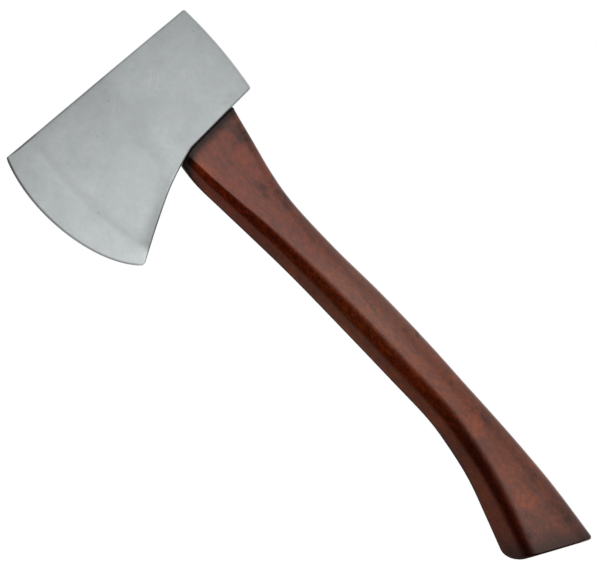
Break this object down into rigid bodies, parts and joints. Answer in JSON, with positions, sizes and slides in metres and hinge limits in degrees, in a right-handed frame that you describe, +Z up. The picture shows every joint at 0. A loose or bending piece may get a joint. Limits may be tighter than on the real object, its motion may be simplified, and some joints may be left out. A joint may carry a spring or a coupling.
{
  "type": "hatchet",
  "caption": "Camp hatchet: a bearded steel head with a flat poll, hung on a curved dark hardwood handle by a wooden wedge and steel cross wedges.",
  "frame": {"origin": "middle of the eye in the plane of the head's flat top", "axes": "+Z up the eye and out of the head's top, +X towards the poll, -X towards the cutting edge, Y across the head's thickness"},
  "size_m": [0.134, 0.023, 0.3685],
  "materials": {
    "head_steel": "fine satin, light cool grey, faint vertical polishing marks and a few pits",
    "handle_wood": "dark reddish-brown hardwood with darker streaks, oiled to a soft gloss",
    "wedge_wood": "plain sawn hardwood, end grain up",
    "wedge_steel": "dull, hammer-marked at the top"
  },
  "bodies": {
    "root": {"axe_head": "head_steel", "handle": "handle_wood", "wood_wedge": "wedge_wood", "steel_wedge_front": "wedge_steel", "steel_wedge_back": "wedge_steel"}
  },
  "joints": []
}
